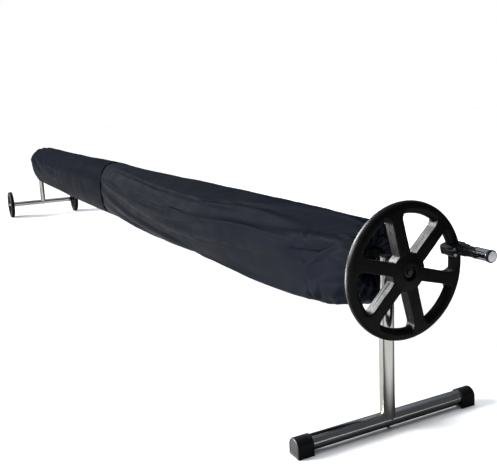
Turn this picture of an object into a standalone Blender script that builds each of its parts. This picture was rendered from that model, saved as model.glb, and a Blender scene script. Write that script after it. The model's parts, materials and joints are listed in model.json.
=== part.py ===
"""Pool cover reel: a wound solar blanket under a two-piece sleeve, on a foot stand and a wheeled stand.

Metres, +Z up. +X runs along the reel towards the hand wheel, and the origin is on the ground under the
middle of the whole object. Both posts are the same length, and the wheeled stand's cross tube sits higher
than the foot tube, so the reel rises slightly towards its far end.
"""

from math import atan2, copysign, cos, hypot, pi, radians, sin, sqrt

import bmesh
import bpy
from mathutils import Vector

# Stands
SPAN = 6.290  # between the two posts, level
TUBE_R = 0.025
TUBE_WALL = 0.0015
FOOT_HEIGHT = 0.033  # axis of the foot tube
POST = 0.512  # from the axis of the tube below to the reel's axis
POST_ABOVE = 0.030  # post above the reel's axis
FOOT_REACH = 0.356  # end of a foot cap, along Y
CAP_LENGTH = 0.058
CAP_HALF_WIDTH = 0.028
CAP_TOP = 0.0615
POST_BOLT_R = 0.004

# Far wheels
WHEEL_R = 0.144
WHEEL_Y = 0.354
TYRE_HALF = 0.020
TYRE_INNER_R = 0.115
CROSS_HALF = 0.325  # half length of the cross tube
STUB_R = 0.006
STUB_IN = 0.255  # inner end of a stub axle, along Y

# Reel, along its own axis from the near post, towards the hand wheel positive
AXLE_R = 0.0125
BUSH_R = 0.0165
BUSH_FACE = 0.0295  # outer face of a bearing bush's flange
COLLAR = (0.028, 0.036)
PLUG = (0.056, 0.060, 0.130)  # flange face, tube end, inner end
PIN_AT = 0.084
PIN_R = 0.004
AXLE_IN = 0.145
OUTER_TUBE_R = 0.042
INNER_TUBE_R = 0.0399
REEL_WALL = 0.0018
OUTER_TUBE = 2.20  # length of each end section of the reel tube
TUBE_LAP = 0.30  # how far the middle section slides into each end section
SCREW_R = 0.003

# Hand wheel and crank grip
HAND_X = 0.092  # centre plane of the rim
HAND_R = 0.215
RIM_R = 0.0195
SPOKES = 6
SPOKE_TURN = radians(-15.2)
SPOKE_AT_HUB = 0.0205  # half width
SPOKE_AT_RIM = 0.0192
SPOKE_FRONT = 0.019
SPOKE_BACK = -0.019
WEB = 0.005  # wall left where the spokes are cored from behind
HUB_R = 0.055
HUB_FRONT = 0.025
HUB_RECESS = (0.022, 0.009)  # radius and depth
BOSS_R = 0.030
GRIP_RADIUS = 0.197
GRIP_TURN = radians(13.9)
GRIP_REACH = 0.2505
CLAMP_BACK, CLAMP_FRONT = -0.026, 0.030  # from the rim's centre plane
CLAMP_BOLT = (-0.0262, 0.0095)  # radial place, and offset to each side
BOLT_R = 0.005

# Blanket and sleeve
BLANKET = (-0.110, -5.680)  # its two edges
BLANKET_R = (0.0440, 0.1240)
BLANKET_PITCH = 0.010
BLANKET_THICK = 0.002
SLEEVE_THICK = 0.003
HEM_R = 0.0462  # outside of the gathered hem, round the reel tube

GAP = 0.0003
FINE = 16  # sides of a small round piece
RIM_SIDES, RIM_STEPS = 8, 40
RISE = WHEEL_R - FOOT_HEIGHT  # how much higher the far stand's tube is
REEL_TILT = atan2(RISE, SPAN)
GRIP_TIP = GRIP_REACH * cos(REEL_TILT) + GRIP_RADIUS * sin(GRIP_TURN) * sin(REEL_TILT)
NEAR_X = (SPAN + WHEEL_R - GRIP_TIP) / 2  # puts the origin under the middle
FAR_X = NEAR_X - SPAN
REEL_SPAN = hypot(SPAN, RISE)
NEAR_AXLE = Vector((NEAR_X, 0, FOOT_HEIGHT + POST))
FAR_AXLE = Vector((FAR_X, 0, WHEEL_R + POST))
ALONG = (pi / 2, 0, pi / 2)  # turns a piece's +Z onto +X, its +X onto +Y
ACROSS = (-pi / 2, 0, 0)  # turns a piece's +Z onto +Y

# Sections of the sleeve: place along the reel, then the fabric's height above the axis, its depth below
# the axis, and its half width. It rests on the roll and hangs slack underneath. The far sleeve's open
# end goes over the near sleeve's.
NEAR_SLEEVE = [
    (-0.072, HEM_R, HEM_R, HEM_R),
    (-0.048, 0.082, 0.084, 0.083),
    (-0.042, 0.114, 0.124, 0.118),
    (-0.062, 0.134, 0.148, 0.142),
    (-0.140, 0.139, 0.166, 0.150),
    (-0.250, 0.140, 0.189, 0.155),
    (-0.500, 0.141, 0.215, 0.160),
    (-1.000, 0.142, 0.228, 0.162),
    (-2.000, 0.138, 0.238, 0.163),
    (-2.850, 0.137, 0.243, 0.163),
    (-3.040, 0.132, 0.230, 0.153),
    (-3.380, 0.131, 0.227, 0.151),
]
FAR_SLEEVE = [
    (-3.080, 0.1390, 0.243, 0.161),
    (-3.300, 0.1390, 0.245, 0.162),
    (-4.000, 0.1350, 0.247, 0.163),
    (-4.800, 0.1345, 0.247, 0.163),
    (-5.500, 0.1345, 0.246, 0.164),
    (-5.770, 0.132, 0.241, 0.164),
    (-5.846, 0.125, 0.222, 0.157),
    (-5.880, 0.110, 0.184, 0.138),
    (-5.884, 0.083, 0.114, 0.094),
    (-5.856, HEM_R, HEM_R, HEM_R),
]
SLACK_FULLNESS = 0.87  # under 1, the slack underside is fuller than an ellipse


def collection(name):
    made = bpy.data.collections.new(name)
    bpy.context.scene.collection.children.link(made)
    return made


def clear_scene():
    for obj in list(bpy.data.objects):
        bpy.data.objects.remove(obj)
    for old in list(bpy.data.collections):
        bpy.data.collections.remove(old)


clear_scene()
PARTS = collection("cover_reel")
CUTTERS = collection("cutters")
CUTTERS.hide_render = True


def material(name, colour, roughness, metallic=0.0):
    made = bpy.data.materials.new(name)
    made.use_nodes = True
    shader = made.node_tree.nodes["Principled BSDF"]
    shader.inputs["Base Color"].default_value = (*colour, 1)
    shader.inputs["Roughness"].default_value = roughness
    shader.inputs["Metallic"].default_value = metallic
    return made


STAINLESS = material("polished_stainless", (0.62, 0.63, 0.64), 0.16, 1.0)
ALUMINIUM = material("mill_aluminium", (0.70, 0.71, 0.72), 0.35, 1.0)
ZINC = material("plated_steel", (0.55, 0.56, 0.57), 0.35, 1.0)
CHROME = material("chrome", (0.78, 0.78, 0.80), 0.08, 1.0)
BLACK_PLASTIC = material("black_moulded_plastic", (0.016, 0.017, 0.018), 0.42)
RUBBER = material("black_rubber", (0.020, 0.020, 0.021), 0.75)
BEARING_PLASTIC = material("grey_bearing_plastic", (0.35, 0.36, 0.37), 0.5)
SILVER_PLASTIC = material("silver_cap", (0.66, 0.67, 0.69), 0.3)
BLANKET_FILM = material("blue_bubble_film", (0.05, 0.20, 0.42), 0.35)
FABRIC = material("navy_polyester", (0.020, 0.024, 0.034), 0.7)


def place(obj, look, parent=None, at=(0, 0, 0), turn=(0, 0, 0), group=PARTS):
    """Links an object, gives it its material, and places it in its parent's frame."""
    group.objects.link(obj)
    obj.location = at
    obj.rotation_euler = turn
    obj.parent = parent
    if look:
        obj.data.materials.append(look)
    if group is CUTTERS:
        obj.hide_render = True
        obj.display_type = "WIRE"
    return obj


def empty(name, at, turn=(0, 0, 0), parent=None):
    made = bpy.data.objects.new(name, None)
    PARTS.objects.link(made)
    made.location = at
    made.rotation_euler = turn
    made.parent = parent
    return made


def turned(name, profile, look=None, steps=FINE, loop=False, **where):
    """A body turned about its own Z. The profile's points are (radius, z), and run down the outer side."""
    mesh = bpy.data.meshes.new(name)
    ends = list(range(len(profile)))
    edges = list(zip(ends, ends[1:])) + ([(ends[-1], 0)] if loop else [])
    mesh.from_pydata([(r, 0, z) for r, z in profile], edges, [])
    obj = place(bpy.data.objects.new(name, mesh), look, **where)
    screw = obj.modifiers.new("turn", "SCREW")
    screw.steps = screw.render_steps = steps
    screw.use_merge_vertices = True
    screw.merge_threshold = 0.00001
    return obj


def rod(name, radius, low, high, look=None, **where):
    return turned(name, [(0, high), (radius, high), (radius, low), (0, low)], look, **where)


def pipe(name, radius, inner, low, high, look=None, **where):
    ring = [(inner, high), (radius, high), (radius, low), (inner, low)]
    return turned(name, ring, look, loop=True, **where)


def hexagon(name, across, low, high, **where):
    """A six-sided head, by its width across the flats."""
    corner = across / sqrt(3)
    outline = [(0, high), (corner, high), (corner, low), (0, low)]
    return turned(name, outline, steps=6, **where)


def boolean(obj, other, operation):
    change = obj.modifiers.new(operation.lower(), "BOOLEAN")
    change.operation = operation
    change.object = other
    return obj


def cut(obj, *others):
    for other in others:
        boolean(obj, other, "DIFFERENCE")
    return obj


def join(obj, *others):
    for other in others:
        boolean(obj, other, "UNION")
    return obj


def outline_plate(name, outlines, half, look=None, **where):
    """A flat plate from closed outlines in its own XY plane, half its thickness each way along Z."""
    curve = bpy.data.curves.new(name, "CURVE")
    curve.dimensions = "2D"
    curve.fill_mode = "BOTH"
    curve.extrude = half
    for outline in outlines:
        spline = curve.splines.new("POLY")
        spline.points.add(len(outline) - 1)
        for point, (x, y) in zip(spline.points, outline):
            point.co = (x, y, 0, 1)
        spline.use_cyclic_u = True
    flat = bpy.data.objects.new(name + "_outline", curve)
    bpy.context.scene.collection.objects.link(flat)
    graph = bpy.context.evaluated_depsgraph_get()
    mesh = bpy.data.meshes.new_from_object(flat.evaluated_get(graph))
    bpy.data.objects.remove(flat)
    work = bmesh.new()
    work.from_mesh(mesh)
    bmesh.ops.remove_doubles(work, verts=work.verts, dist=0.000001)
    bmesh.ops.recalc_face_normals(work, faces=work.faces)
    work.to_mesh(mesh)
    work.free()
    return place(bpy.data.objects.new(name, mesh), look, **where)


def arc(centre, radius, start, end, steps):
    turns = [start + (end - start) * i / steps for i in range(steps + 1)]
    return [(centre[0] + radius * cos(t), centre[1] + radius * sin(t)) for t in turns]


def eased(before, corner, after, radius, steps=3):
    """A rounded corner between two straight edges, as a short arc tangent to both."""
    corner = Vector(corner)
    one = (Vector(before) - corner).normalized()
    two = (Vector(after) - corner).normalized()
    half = one.angle(two) / 2
    centre = corner + (one + two).normalized() * radius / sin(half)
    first = corner + one * radius / sqrt(1 / cos(half) ** 2 - 1)
    last = corner + two * radius / sqrt(1 / cos(half) ** 2 - 1)
    points = []
    for i in range(steps + 1):
        way = (first - centre).lerp(last - centre, i / steps).normalized()
        points.append(tuple(centre + way * radius))
    return points


def turn_points(points, angle):
    return [(x * cos(angle) - y * sin(angle), x * sin(angle) + y * cos(angle)) for x, y in points]


def bolt(name, look, radius, shank, head, across, **where):
    """A hexagon bolt: its shank runs down from z = 0, and its head stands above."""
    body = rod(name, radius, -shank, head / 2, look, **where)
    top = hexagon(name + "_head", across, 0, head, group=CUTTERS, **where)
    return join(body, top)


def foot_cap(name, side):
    """A moulded foot: round on top, flat underneath, with a deep socket for the foot tube."""
    low = 0.004
    crown = arc((0, FOOT_HEIGHT), CAP_TOP - FOOT_HEIGHT, 0, pi, 16)
    wide = CAP_HALF_WIDTH
    sole = [(-wide, low), (low - wide, 0), (wide - low, 0), (wide, low)]
    # The outline's y is up, so its plate is stood upright and its z runs along the foot tube.
    middle = side * (FOOT_REACH - CAP_LENGTH / 2)
    cap = outline_plate(name, [crown + sole], CAP_LENGTH / 2, RUBBER, at=(NEAR_X, middle, 0),
                        turn=(pi / 2, 0, 0))
    soften = cap.modifiers.new("soften", "BEVEL")
    soften.width = 0.0015
    soften.segments = 1
    soften.limit_method = "ANGLE"
    soften.angle_limit = radians(50)
    inner, outer = FOOT_REACH - CAP_LENGTH - 0.01, FOOT_REACH - 0.006 + GAP
    low, high = sorted((side * inner, side * outer))
    socket = rod(name + "_socket", TUBE_R + GAP, low, high, at=(NEAR_X, 0, FOOT_HEIGHT),
                 turn=ACROSS, group=CUTTERS)
    return cut(cap, socket)


def stand(label, x, base, tube_half):
    """A post standing on its cross-wise tube, with the bolt, insert, cap and bearing bush they share."""
    below = "foot" if label == "near" else "cross"
    bolt_hole = rod(f"{label}_bolt_hole", POST_BOLT_R + GAP, base - 0.05, base + 0.05, at=(x, 0, 0),
                    group=CUTTERS)
    tube = pipe(f"{label}_{below}_tube", TUBE_R, TUBE_R - TUBE_WALL, -tube_half, tube_half, STAINLESS,
                at=(x, 0, base), turn=ACROSS)
    cut(tube, bolt_hole)

    post = pipe(f"{label}_post_tube", TUBE_R, TUBE_R - TUBE_WALL, 0.005, POST + POST_ABOVE, STAINLESS,
                at=(x, 0, base))
    saddle = rod(f"{label}_saddle", TUBE_R + GAP, -0.06, 0.06, at=(x, 0, base), turn=ACROSS,
                 group=CUTTERS)
    cross_hole = rod(f"{label}_cross_hole", BUSH_R + GAP, -0.06, 0.06, parent=reel_axis,
                     at=(0 if label == "near" else -REEL_SPAN, 0, 0), turn=ALONG, group=CUTTERS)
    cut(post, saddle, cross_hole)

    inside = TUBE_R - TUBE_WALL - GAP
    tapped = POST_BOLT_R + GAP
    turned(f"{label}_post_insert", [(tapped, 0.075), (inside, 0.075), (inside, 0.027), (tapped, 0.027)],
           ZINC, loop=True, at=(x, 0, base))
    bolt(f"{label}_post_bolt", ZINC, POST_BOLT_R, TUBE_R + GAP + 0.065, 0.005, 0.013,
         at=(x, 0, base - TUBE_R - GAP), turn=(pi, 0, 0))
    top = POST + POST_ABOVE
    dome = [(0, top + 0.009), (0.012, top + 0.0075), (0.021, top + 0.004), (TUBE_R, top + GAP),
            (inside, top + GAP), (inside, top - 0.008), (0, top - 0.008)]
    turned(f"{label}_post_cap", dome, BLACK_PLASTIC, at=(x, 0, base))


def reel_end(label, end):
    """What carries one end of the reel tube. It is built outwards from the post, along the end's +X."""
    bore = AXLE_R + GAP
    turned(f"{label}_bearing_bush",
           [(bore, BUSH_FACE), (0.0235, BUSH_FACE), (0.0235, TUBE_R + 0.0008), (BUSH_R, TUBE_R + 0.0008),
            (BUSH_R, -0.0270), (bore, -0.0270)],
           BEARING_PLASTIC, loop=True, parent=end, turn=ALONG)
    pipe(f"{label}_axle_collar", 0.021, bore, -COLLAR[1], -COLLAR[0], ZINC, parent=end, turn=ALONG)

    pin_hole = rod(f"{label}_pin_hole", PIN_R + GAP, -0.06, 0.06, parent=end, at=(-PIN_AT, 0, 0),
                   group=CUTTERS)
    snug = OUTER_TUBE_R - REEL_WALL - GAP
    plug = turned(f"{label}_reel_plug",
                  [(bore, -PLUG[0]), (OUTER_TUBE_R, -PLUG[0]), (OUTER_TUBE_R, -PLUG[1] + GAP),
                   (snug, -PLUG[1] + GAP), (snug, -PLUG[2]), (bore, -PLUG[2])],
                  BLACK_PLASTIC, loop=True, parent=end, turn=ALONG)
    cut(plug, pin_hole)
    rod(f"{label}_drive_pin", PIN_R, -OUTER_TUBE_R, OUTER_TUBE_R, ZINC, parent=end, at=(-PIN_AT, 0, 0))

    section = pipe(f"reel_tube_{label}", OUTER_TUBE_R, OUTER_TUBE_R - REEL_WALL, -PLUG[1] - OUTER_TUBE,
                   -PLUG[1], ALUMINIUM, parent=end, turn=ALONG)
    screw_at = -PLUG[1] - OUTER_TUBE + TUBE_LAP / 2
    screw_hole = rod(f"{label}_screw_hole", SCREW_R + GAP, 0, 0.06, parent=end, at=(screw_at, 0, 0),
                     group=CUTTERS)
    cut(section, pin_hole, screw_hole)
    rod(f"{label}_tube_screw", SCREW_R, INNER_TUBE_R - REEL_WALL - 0.004, OUTER_TUBE_R + 0.0008, ZINC,
        parent=end, at=(screw_at, 0, 0))
    return pin_hole, screw_hole


def near_axle(pin_hole):
    """The driven axle: its outer end is tapped for the hand wheel's bolt."""
    tip, depth, tapped = HAND_X - 0.012, 0.024, BOLT_R + GAP
    profile = [(0, tip - depth), (tapped, tip - depth), (tapped, tip), (AXLE_R, tip),
               (AXLE_R, -AXLE_IN), (0, -AXLE_IN)]
    cut(turned("near_axle", profile, ZINC, parent=near_end, turn=ALONG), pin_hole)


def far_axle(pin_hole):
    tip = BUSH_FACE + 0.011
    cut(rod("far_axle", AXLE_R, -AXLE_IN, tip, ZINC, parent=far_end, turn=ALONG), pin_hole)
    pipe("far_axle_washer", 0.021, AXLE_R + GAP, BUSH_FACE + GAP, BUSH_FACE + 0.008, ZINC,
         parent=far_end, turn=ALONG)


def middle_tube(screw_holes):
    """The inner telescoping section, held in both end sections by a screw."""
    end = PLUG[1] + OUTER_TUBE - TUBE_LAP
    tube = pipe("reel_tube_middle", INNER_TUBE_R, INNER_TUBE_R - REEL_WALL, end - REEL_SPAN, -end,
                ALUMINIUM, parent=reel_axis, turn=ALONG)
    cut(tube, *screw_holes)


def spoke_edge(r, half):
    """A point on the edge of the spoke 30 degrees above the gap's middle line, on the gap's side."""
    lean = pi / SPOKES
    return r * cos(lean) + half * sin(lean), r * sin(lean) - half * cos(lean)


def gap_outline(middle):
    """The opening between two spokes: a rounded wedge, whose outer arc lies inside the round rim."""
    rim = HAND_R - 1.04 * RIM_R
    apex = (2 * SPOKE_AT_HUB, 0)
    upper = spoke_edge(sqrt(rim**2 - SPOKE_AT_RIM**2), SPOKE_AT_RIM)
    lower = (upper[0], -upper[1])
    wide = atan2(upper[1], upper[0])
    inner_arc = arc((0, 0), rim, -wide, wide, 6)
    points = eased(lower, apex, upper, 0.003)[::-1]
    points += eased(apex, lower, inner_arc[1], 0.012)
    points += inner_arc[2:-2]
    points += eased(inner_arc[-2], upper, apex, 0.012)
    return turn_points(points, middle)


def core_outline(turn):
    """The pocket in the back of one spoke."""
    near, far = HUB_R + 0.006, HAND_R - 2 * RIM_R - 0.004
    a, b = SPOKE_AT_HUB - WEB, SPOKE_AT_RIM - WEB
    return turn_points([(near, -a), (far, -b), (far, b), (near, a)], turn)


def rim_section(grown):
    """The rim's round section, running down its outer side."""
    return arc((HAND_R - RIM_R, 0), RIM_R + grown, pi / 2, -3 * pi / 2, RIM_SIDES)[:-1]


def hand_wheel():
    """One moulding: a round rim, six deep spokes cored from behind, and a hub with a recess in front."""
    turns = [SPOKE_TURN + 2 * pi * i / SPOKES for i in range(SPOKES)]
    gaps = [gap_outline(turn + pi / SPOKES) for turn in turns]
    plate = arc((0, 0), HAND_R - RIM_R, 0, 2 * pi, RIM_STEPS)[:-1]
    half = (SPOKE_FRONT - SPOKE_BACK) / 2
    middle = HAND_X + (SPOKE_FRONT + SPOKE_BACK) / 2
    wheel = outline_plate("handwheel", [plate, *gaps], half, BLACK_PLASTIC, parent=near_end,
                          at=(middle, 0, 0), turn=ALONG)
    rim = turned("rim", rim_section(0), steps=RIM_STEPS, loop=True, parent=near_end, at=(HAND_X, 0, 0),
                 turn=ALONG, group=CUTTERS)
    face, back, floor = HUB_FRONT, BUSH_FACE + 0.0015 - HAND_X, HUB_FRONT - HUB_RECESS[1]
    hub = turned("hub",
                 [(0, face), (HUB_R - 0.004, face), (HUB_R, face - 0.003), (HUB_R, SPOKE_BACK + 0.001),
                  (BOSS_R, SPOKE_BACK - 0.004), (BOSS_R, back), (0, back)],
                 parent=near_end, at=(HAND_X, 0, 0), turn=ALONG, group=CUTTERS)
    cores = outline_plate("spoke_cores", [core_outline(turn) for turn in turns], half, parent=near_end,
                          at=(middle - WEB, 0, 0), turn=ALONG, group=CUTTERS)
    recess = rod("hub_recess", HUB_RECESS[0], floor, face + 0.01, parent=near_end, at=(HAND_X, 0, 0),
                 turn=ALONG, group=CUTTERS)
    bolt_way = rod("hub_bolt_way", BOLT_R + GAP, -0.02, face, parent=near_end, at=(HAND_X, 0, 0),
                   turn=ALONG, group=CUTTERS)
    socket = rod("hub_socket", AXLE_R + GAP, back - 0.01, GAP - 0.012, parent=near_end,
                 at=(HAND_X, 0, 0), turn=ALONG, group=CUTTERS)
    join(wheel, hub)
    cut(wheel, cores)
    join(wheel, rim)
    cut(wheel, recess, bolt_way, socket)
    pipe("handwheel_washer", 0.015, BOLT_R + GAP, floor + GAP, floor + 0.0025, ZINC, parent=near_end,
         at=(HAND_X, 0, 0), turn=ALONG)
    bolt("handwheel_bolt", ZINC, BOLT_R, 0.038, 0.0065, 0.017, parent=near_end,
         at=(HAND_X + floor + 0.0025 + GAP, 0, 0), turn=ALONG)


def clamp_half(name, low, high, rim_space):
    """Half of the bracket that grips the rim, rounded, with the rim's channel cut."""
    deep = [(-0.0312, -0.0125), (-0.0312, 0.0125), (-0.026, 0.0175), (0.018, 0.0175), (0.0255, 0.012),
            (0.0255, -0.012), (0.018, -0.0175), (-0.026, -0.0175)]
    half = outline_plate(name, [deep], (high - low) / 2, BLACK_PLASTIC, parent=grip_axis,
                         at=((low + high) / 2, 0, 0), turn=ALONG)
    cut(half, rim_space)
    return half


def grip():
    """The crank grip: a bracket bolted round the rim, a fixed spindle, and a sleeve that spins on it."""
    rim_space = turned("rim_space", rim_section(GAP), steps=RIM_STEPS, loop=True, parent=near_end,
                       at=(HAND_X, 0, 0), turn=ALONG, group=CUTTERS)
    back = clamp_half("grip_clamp_back", HAND_X + CLAMP_BACK, HAND_X - GAP, rim_space)
    front = clamp_half("grip_clamp_front", HAND_X + GAP, HAND_X + CLAMP_FRONT, rim_space)
    start = HAND_X + 0.020
    boss = turned("grip_boss", [(0, 0.1775), (0.0168, 0.1775), (0.0172, 0.166), (0.0195, 0.150),
                                (0.0195, start + 0.004), (0.0175, start), (0, start)],
                  parent=grip_axis, turn=ALONG, group=CUTTERS)
    spindle_way = rod("spindle_way", 0.005 + GAP, 0.130 - GAP, 0.2, parent=grip_axis, turn=ALONG,
                      group=CUTTERS)
    join(front, boss)
    # The rim's channel is cut again, because the boss reaches into it.
    cut(front, rim_space, spindle_way)
    for label, side in (("upper", 1), ("lower", -1)):
        where = (0, CLAMP_BOLT[0], side * CLAMP_BOLT[1])
        way = rod(f"clamp_way_{label}", 0.003 + GAP, 0, 0.2, parent=grip_axis, at=where, turn=ALONG,
                  group=CUTTERS)
        cut(back, way)
        cut(front, way)
        bolt(f"grip_clamp_bolt_{label}", ZINC, 0.003, 0.055, 0.004, 0.009, parent=grip_axis,
             at=(HAND_X + CLAMP_FRONT + GAP, where[1], where[2]), turn=ALONG)

    turned("grip_spindle", [(0, 0.2450), (0.009, 0.2450), (0.009, 0.2430), (0.005, 0.2430),
                            (0.005, 0.130), (0, 0.130)], ZINC, steps=16, parent=grip_axis, turn=ALONG)
    bore = 0.005 + GAP
    turned("grip_body", [(bore, 0.2388), (0.0160, 0.2388), (0.0160, 0.1915), (0.0188, 0.1915),
                         (0.0184, 0.1855), (0.0175, 0.1781), (bore, 0.1781)],
           BLACK_PLASTIC, loop=True, parent=grip_axis, turn=ALONG)
    pipe("grip_sleeve", 0.0185, 0.0163, 0.1918, 0.2388, CHROME, parent=grip_axis, turn=ALONG)
    turned("grip_end_ring", [(0.0165, 0.2490), (0.0186, 0.2490), (0.0196, 0.2475), (0.0196, 0.2391),
                             (bore, 0.2391), (bore, 0.2424), (0.0165, 0.2424)],
           BLACK_PLASTIC, loop=True, parent=grip_axis, turn=ALONG)
    turned("grip_end_cap", [(0, GRIP_REACH), (0.010, GRIP_REACH - 0.0004), (0.0162, GRIP_REACH - 0.002),
                            (0.0162, 0.2458), (0, 0.2458)],
           SILVER_PLASTIC, parent=grip_axis, turn=ALONG)


def far_wheel(side):
    """A plastic wheel with a rubber tyre, turning on a stub axle that is held in the cross tube's end."""
    label = "left" if side < 0 else "right"
    turn = ACROSS if side > 0 else (pi / 2, 0, 0)  # +Z points outwards
    where = {"at": (FAR_X, 0, WHEEL_R), "turn": turn}
    y = WHEEL_Y
    half, inner = TYRE_HALF, TYRE_INNER_R
    turned(f"{label}_tyre",
           [(inner, y + half - 0.003), (0.121, y + half - 0.0005), (0.132, y + half), (0.140, y + half - 0.004),
            (WHEEL_R, y + half - 0.012), (WHEEL_R, y - half + 0.012), (0.140, y - half + 0.004),
            (0.132, y - half), (0.121, y - half + 0.0005), (inner, y - half + 0.003)],
           RUBBER, steps=28, loop=True, **where)
    rim = inner - GAP
    bore = 0.0100
    turned(f"{label}_wheel_centre",
           [(bore, y + 0.010), (0.020, y + 0.010), (0.023, y + 0.004), (0.099, y + 0.003),
            (0.104, y + 0.0165), (rim, y + 0.0165), (rim, y - 0.0165), (0.104, y - 0.0165),
            (0.099, y - 0.003), (0.023, y - 0.004), (0.020, y - 0.018), (bore, y - 0.018)],
           BLACK_PLASTIC, steps=28, loop=True, **where)
    pipe(f"{label}_wheel_bush", bore - GAP, STUB_R + GAP, y - 0.018, y + 0.010, BEARING_PLASTIC, **where)
    pipe(f"{label}_wheel_washer", 0.013, STUB_R + GAP, y - 0.0215, y - 0.0185, ZINC, **where)
    rod(f"{label}_stub_axle", STUB_R, STUB_IN, y + 0.0135, ZINC, **where)
    turned(f"{label}_hub_cap",
           [(0, y + 0.0185), (0.007, y + 0.018), (0.0125, y + 0.0145), (0.0125, y + 0.0105),
            (STUB_R + GAP, y + 0.0105), (STUB_R + GAP, y + 0.0138), (0, y + 0.0138)],
           SILVER_PLASTIC, steps=16, **where)
    snug = TUBE_R - TUBE_WALL - GAP
    turned(f"{label}_tube_plug",
           [(STUB_R + GAP, CROSS_HALF + 0.006), (TUBE_R - 0.002, CROSS_HALF + 0.006),
            (TUBE_R, CROSS_HALF + 0.003), (TUBE_R, CROSS_HALF + GAP), (snug, CROSS_HALF + GAP),
            (snug, STUB_IN), (STUB_R + GAP, STUB_IN)],
           BLACK_PLASTIC, loop=True, **where)


def blanket_roll():
    """The solar blanket, wound in an open spiral on the reel tube."""
    inner, outer = BLANKET_R
    sides = 12
    steps = int(sides * (outer - inner) / BLANKET_PITCH)

    def spiral(thick):
        for i in range(steps + 1):
            turn = 2 * pi * i / sides
            r = inner + BLANKET_PITCH * i / sides + thick
            yield r * cos(turn), r * sin(turn)

    outline = list(spiral(BLANKET_THICK)) + list(spiral(0))[::-1]
    start, end = BLANKET
    outline_plate("blanket_roll", [outline], (start - end) / 2, BLANKET_FILM, parent=reel_axis,
                  at=((start + end) / 2, 0, 0), turn=ALONG)


def sleeve(name, sections, sides=20):
    """A fabric tube lofted through its sections, with the fabric's thickness added inwards."""
    work = bmesh.new()
    rings = []
    for x, above, below, wide in sections:
        ring = []
        for i in range(sides):
            turn = 2 * pi * (i + 0.5) / sides
            if sin(turn) > 0:
                y, z = wide * cos(turn), above * sin(turn)
            else:
                y = copysign(wide * abs(cos(turn)) ** SLACK_FULLNESS, cos(turn))
                z = -below * abs(sin(turn)) ** SLACK_FULLNESS
            ring.append(work.verts.new((x, y, z)))
        rings.append(ring)
    for one, two in zip(rings, rings[1:]):
        for i in range(sides):
            j = (i + 1) % sides
            work.faces.new((one[i], two[i], two[j], one[j]))
    bmesh.ops.recalc_face_normals(work, faces=work.faces)
    mesh = bpy.data.meshes.new(name)
    work.to_mesh(mesh)
    work.free()
    obj = place(bpy.data.objects.new(name, mesh), FABRIC, parent=cover_axis)
    thick = obj.modifiers.new("fabric", "SOLIDIFY")
    thick.thickness = SLEEVE_THICK
    thick.offset = -1
    return obj


reel_axis = empty("reel_axis", NEAR_AXLE, (0, REEL_TILT, 0))
near_end = empty("near_end", (0, 0, 0), parent=reel_axis)
far_end = empty("far_end", (-REEL_SPAN, 0, 0), (0, 0, pi), parent=reel_axis)
grip_axis = empty("grip_axis", (0, GRIP_RADIUS * cos(GRIP_TURN), GRIP_RADIUS * sin(GRIP_TURN)),
                  (GRIP_TURN, 0, 0), parent=reel_axis)
cover_axis = empty("cover_axis", (0, 0, 0), parent=reel_axis)

stand("near", NEAR_X, FOOT_HEIGHT, FOOT_REACH - 0.006)
for cap_side, cap_name in ((-1, "near_foot_cap_left"), (1, "near_foot_cap_right")):
    foot_cap(cap_name, cap_side)
stand("far", FAR_X, WHEEL_R, CROSS_HALF)
for wheel_side in (-1, 1):
    far_wheel(wheel_side)

near_pin, near_screw = reel_end("near", near_end)
far_pin, far_screw = reel_end("far", far_end)
near_axle(near_pin)
far_axle(far_pin)
middle_tube([near_screw, far_screw])
hand_wheel()
grip()
blanket_roll()
sleeve("sleeve_near", NEAR_SLEEVE)
sleeve("sleeve_far", FAR_SLEEVE)
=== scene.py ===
"""The looks of a pool cover reel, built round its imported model: every place is read from the frame."""

import json
from math import atan2, cos, pi, radians, sin, sqrt

import bmesh
import bpy
import numpy as np
from mathutils import Matrix, Vector, noise


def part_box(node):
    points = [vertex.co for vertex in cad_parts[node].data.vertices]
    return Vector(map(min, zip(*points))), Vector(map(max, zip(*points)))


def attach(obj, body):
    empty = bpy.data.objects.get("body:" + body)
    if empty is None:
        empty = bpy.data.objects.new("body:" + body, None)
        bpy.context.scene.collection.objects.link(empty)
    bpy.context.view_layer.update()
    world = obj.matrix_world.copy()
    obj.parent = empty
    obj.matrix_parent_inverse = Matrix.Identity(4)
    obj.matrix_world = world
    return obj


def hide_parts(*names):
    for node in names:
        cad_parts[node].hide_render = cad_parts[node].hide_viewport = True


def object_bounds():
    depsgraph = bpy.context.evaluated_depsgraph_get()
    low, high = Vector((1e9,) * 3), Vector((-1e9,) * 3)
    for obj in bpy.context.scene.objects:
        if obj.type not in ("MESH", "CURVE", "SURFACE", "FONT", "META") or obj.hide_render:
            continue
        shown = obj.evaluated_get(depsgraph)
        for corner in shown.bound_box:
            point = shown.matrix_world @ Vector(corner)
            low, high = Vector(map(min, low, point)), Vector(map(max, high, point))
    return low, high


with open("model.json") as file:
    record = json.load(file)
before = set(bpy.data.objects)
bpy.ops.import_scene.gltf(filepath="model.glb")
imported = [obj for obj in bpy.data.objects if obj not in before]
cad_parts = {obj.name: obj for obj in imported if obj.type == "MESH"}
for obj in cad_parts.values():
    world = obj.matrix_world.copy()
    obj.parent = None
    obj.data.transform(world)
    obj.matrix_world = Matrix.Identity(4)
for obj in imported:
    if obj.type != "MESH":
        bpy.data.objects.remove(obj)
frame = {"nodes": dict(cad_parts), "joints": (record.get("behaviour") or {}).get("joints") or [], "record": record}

CAD_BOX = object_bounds()
JOINTS = {joint["name"]: joint for joint in frame["joints"]}
SLOT = {part["node"]: part["material_slot"] for part in frame["record"]["subparts"]}
BODY = {node: body for body, nodes in frame["record"]["behaviour"]["bodies"].items() for node in nodes}
FINE = 96  # sides of a large round piece
SMALL = 48  # sides of a small one
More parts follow.
